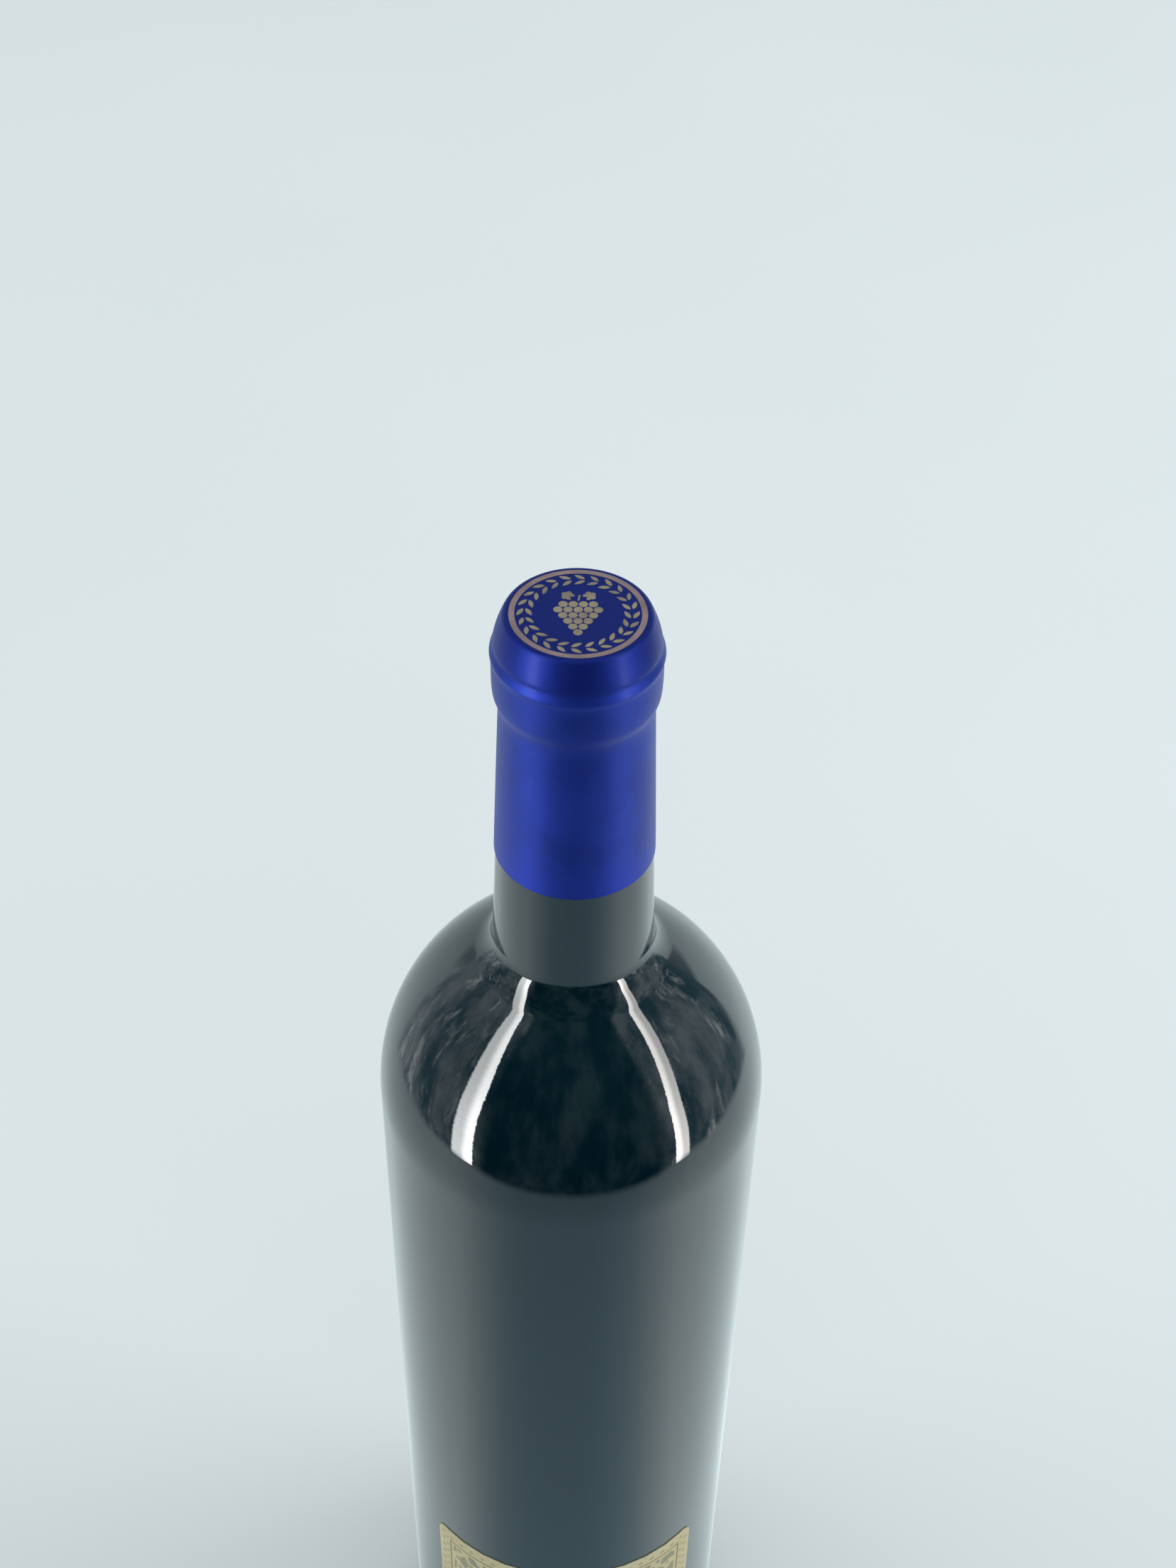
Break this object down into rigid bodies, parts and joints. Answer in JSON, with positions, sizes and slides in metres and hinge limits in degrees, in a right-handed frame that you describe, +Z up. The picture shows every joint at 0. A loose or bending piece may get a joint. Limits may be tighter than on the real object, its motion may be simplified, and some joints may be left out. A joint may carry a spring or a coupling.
{
  "type": "wine bottle",
  "caption": "Shut, high-shouldered wine bottle of dark glass with a blue foil capsule over its mouth and a cream paper label low on the front.",
  "frame": {"origin": "centre of the ring that the bottle stands on, on the bottle's axis", "axes": "+Z up along the bottle's axis; the label faces -Y; +X to the right of it"},
  "size_m": [0.0764, 0.0764, 0.32],
  "materials": {
    "dark_glass": "polished, very dark green, nearly black",
    "blue_foil": "satin blue lacquer with dull gold print on top",
    "cream_paper": "uncoated pale cream-gold paper with a fine printed ornament"
  },
  "bodies": {
    "root": {"glass": "dark_glass", "capsule": "blue_foil", "label": "cream_paper"}
  },
  "joints": []
}
